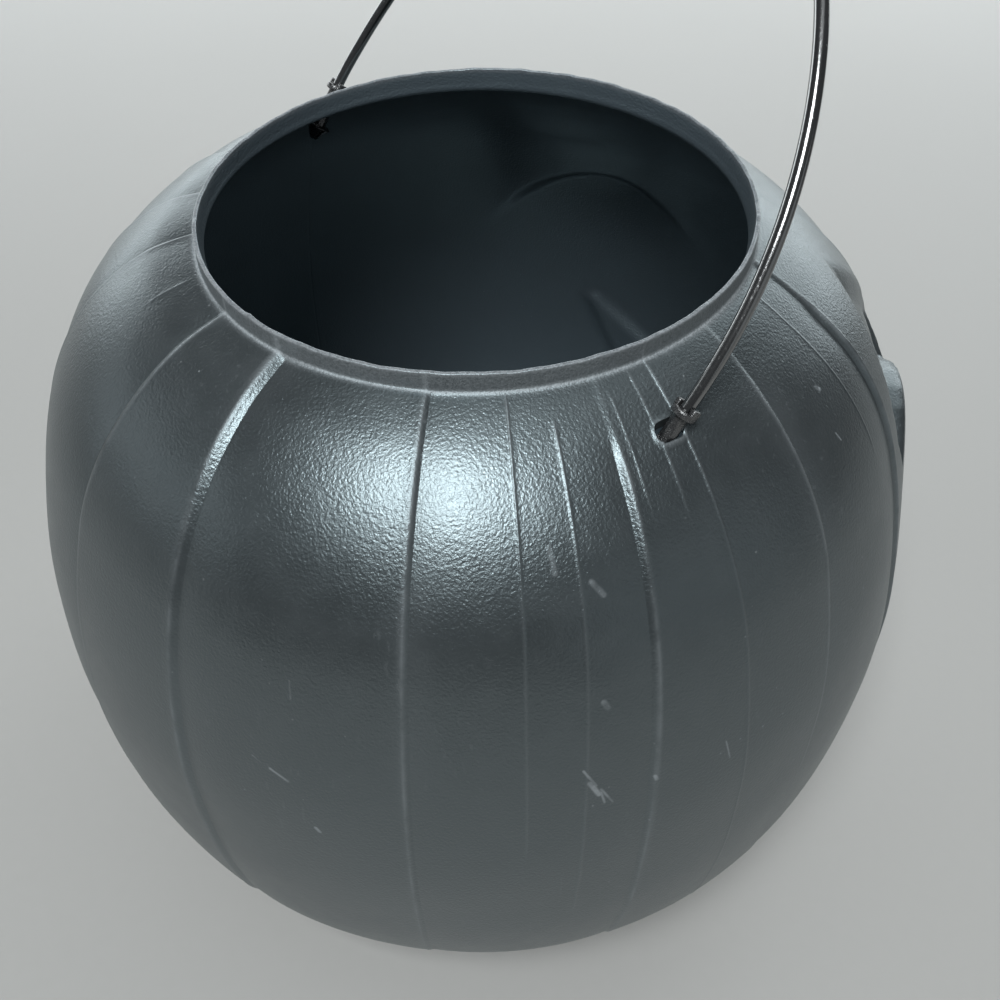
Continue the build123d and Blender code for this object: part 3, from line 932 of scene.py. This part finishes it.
# %% Floor
def grid_floor(size, cells):
    solid = bmesh.new()
    bmesh.ops.create_grid(solid, x_segments=cells, y_segments=cells, size=size / 2)
    mesh = bpy.data.meshes.new("floor")
    solid.to_mesh(mesh)
    solid.free()
    made = bpy.data.objects.new("floor", mesh)
    bpy.context.collection.objects.link(made)
    return made


floor = grid_floor(6.0, 24)
floor.location.z = -0.2 * mm
floor_finish, start, place, sockets = new_finish("pale_floor")
haze = place.noise(4.0, 4.0)
dust = place.noise(300.0, 2.0)
floor_colour = (haze * 0.7 + dust * 0.3).mix((0.400, 0.391, 0.377, 1), (0.445, 0.435, 0.420, 1))
start.join(floor_colour, sockets["Base Color"])
start.join(0.55 + (dust - 0.5) * 0.1, sockets["Roughness"])
floor.data.materials.append(floor_finish)
print("floor", [round(v, 2) for v in floor.dimensions])

# %% Softboxes and surroundings
toward_camera = Vector((-math.sqrt(0.75), 0.5, 0))
to_right = Vector((-0.5, -math.sqrt(0.75), 0))


def softbox(name, right, near, high, width, depth, watts, tint):
    """A flat light at this place as the camera sees it, which faces the middle of the pail."""
    lamp = bpy.data.lights.new(name, "AREA")
    lamp.shape, lamp.size, lamp.size_y = "RECTANGLE", width, depth
    lamp.energy, lamp.color = watts, tint
    box = bpy.data.objects.new(name, lamp)
    box.location = to_right * right + toward_camera * near + Vector((0, 0, high))
    aim = Vector((0, 0, 0.1)) - box.location
    box.rotation_mode = "QUATERNION"
    box.rotation_quaternion = aim.to_track_quat("-Z", "Y")
    bpy.context.collection.objects.link(box)
    return box


cool, cooler = (0.94, 0.985, 1.0), (0.92, 0.98, 1.0)
# metres to the right of the pail, towards the camera and up, width and depth in metres, watts and colour
lamps = (
    ("key", -0.20, 0.62, 1.30, 0.54, 0.54, 17.5, cool),
    ("back_wall", 0.0, -0.95, 0.27, 2.8, 0.42, 11.5, cooler),
    ("back_window", 0.75, -0.85, 0.85, 0.7, 0.6, 2.4, cooler),
    ("left_window", -1.15, 0.02, 0.42, 1.1, 0.24, 0.9, cooler),
    ("front_room", 1.0, 0.85, 0.40, 1.4, 0.7, 0.9, cooler),
    ("ceiling", 0.15, -0.30, 1.50, 1.2, 1.2, 2.2, cool),
)
for lamp in lamps:
    softbox(*lamp)

world = bpy.data.worlds.new("studio")
bpy.context.scene.world = world
world.use_nodes = True
background = world.node_tree.nodes["Background"].inputs
background["Color"].default_value = (0.90, 0.96, 1.0, 1)
background["Strength"].default_value = 0.08

# %% Camera
camera = bpy.data.objects.new("camera", bpy.data.cameras.new("camera"))
camera.data.lens, camera.data.sensor_width = 36.0, 36.0
camera.data.clip_start = 0.01
camera_place, looked_at = Vector((-0.1552, 0.0896, 0.2745)), Vector((-0.00272, -0.00471, 0.07867))
roll = 0.0116
forward = (looked_at - camera_place).normalized()
level_right = forward.cross(Vector((0, 0, 1))).normalized()
level_up = level_right.cross(forward)
right = math.cos(roll) * level_right + math.sin(roll) * level_up
upright = math.cos(roll) * level_up - math.sin(roll) * level_right
turning = Matrix((right, upright, -forward)).transposed().to_4x4()
camera.matrix_world = Matrix.Translation(camera_place) @ turning
bpy.context.collection.objects.link(camera)
bpy.context.scene.camera = camera
bpy.context.scene.view_settings.view_transform = "Standard"
print("camera", [round(v, 3) for v in camera.location])
